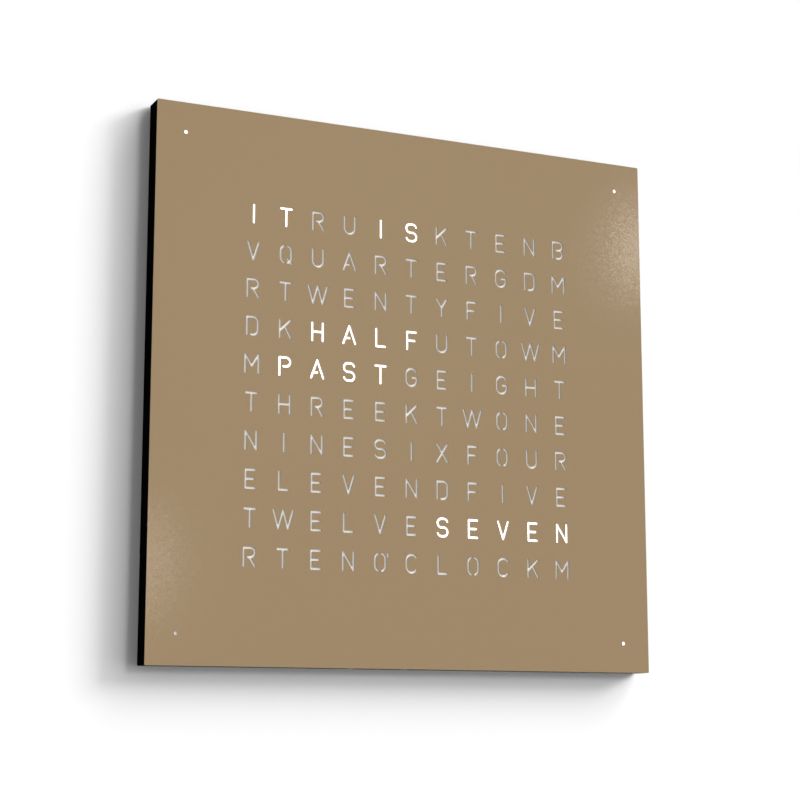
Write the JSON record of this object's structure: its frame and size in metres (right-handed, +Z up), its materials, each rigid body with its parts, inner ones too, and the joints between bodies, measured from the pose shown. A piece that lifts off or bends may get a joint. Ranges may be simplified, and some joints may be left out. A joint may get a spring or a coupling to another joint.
{
  "type": "word clock",
  "caption": "Square wall clock: a thin steel plate with a grid of letter slots, lit from behind, held by magnets on a shallow black case.",
  "frame": {"origin": "centre of the square clock on the face of the wall it hangs on, which is the back face of the rear cover", "axes": "+X to the right as the clock is read, +Y into the wall, +Z up"},
  "size_m": [0.45, 0.02, 0.45],
  "materials": {
    "powder_coat": "tan metallic powder coat, fine grain",
    "opal_acrylic": "satin opal sheet",
    "zinc_steel": "zinc plated",
    "case_black": "black, satin",
    "nickel": "nickel plated",
    "grid_white": "white, moulded",
    "black_steel": "black oxide",
    "circuit_board": "solder resist on glass epoxy",
    "led_body": "white body with phosphor window",
    "chip_black": "moulded epoxy",
    "lead_sleeve": "insulated lead",
    "can_aluminium": "drawn can",
    "clear_acrylic": "polished",
    "socket_white": "moulded",
    "ribbon_grey": "flat cable",
    "ferrite": "fired ferrite",
    "copper_winding": "enamelled copper wire",
    "rear_sheet": "black powder coat"
  },
  "bodies": {
    "root": {"case_shell": "case_black", "case_magnets": "nickel", "light_grid": "grid_white", "light_grid_screws": "black_steel", "led_board": "circuit_board", "letter_leds": "led_body", "led_board_screws": "zinc_steel", "driver_chips": "chip_black", "minute_boards": "circuit_board", "minute_leds": "led_body", "minute_board_screws": "zinc_steel", "minute_leads": "lead_sleeve", "control_board": "circuit_board", "control_board_screws": "zinc_steel", "microcontroller": "chip_black", "quartz_crystal": "nickel", "voltage_regulator": "chip_black", "receiver_module": "circuit_board", "capacitors": "can_aluminium", "coin_cell_holder": "chip_black", "coin_cell": "nickel", "power_jack": "chip_black", "power_jack_pin": "nickel", "button_switches": "chip_black", "sensor_light_pipe": "clear_acrylic", "light_sensor": "chip_black", "led_board_socket": "socket_white", "control_board_socket": "socket_white", "ribbon_cable": "ribbon_grey", "antenna_rod": "ferrite", "antenna_coil": "copper_winding", "antenna_clips": "socket_white", "antenna_lead": "lead_sleeve", "rear_cover": "rear_sheet", "rear_cover_screws": "black_steel", "hanger_plates": "zinc_steel", "hanger_plate_screws": "black_steel"},
    "front_cover": {"front_plate": "powder_coat", "diffuser_sheet": "opal_acrylic", "strike_discs": "zinc_steel"},
    "mode_key": {"mode_button": "case_black", "mode_plunger": "chip_black"},
    "hour_key": {"hour_button": "case_black", "hour_plunger": "chip_black"},
    "minute_key": {"minute_button": "case_black", "minute_plunger": "chip_black"}
  },
  "joints": [
    {"name": "front_cover_pull", "type": "slide", "parent": "root", "child": "front_cover", "axis": [0, -1, 0], "range_m": [0, 0.06]},
    {"name": "mode_press", "type": "slide", "parent": "root", "child": "mode_key", "axis": [0, 0, 1], "range_m": [0, 0.0006], "stiffness_N_per_m": 400, "springref_m": -0.001},
    {"name": "hour_press", "type": "slide", "parent": "root", "child": "hour_key", "axis": [0, 0, 1], "range_m": [0, 0.0006], "stiffness_N_per_m": 400, "springref_m": -0.001},
    {"name": "minute_press", "type": "slide", "parent": "root", "child": "minute_key", "axis": [0, 0, 1], "range_m": [0, 0.0006], "stiffness_N_per_m": 400, "springref_m": -0.001}
  ]
}
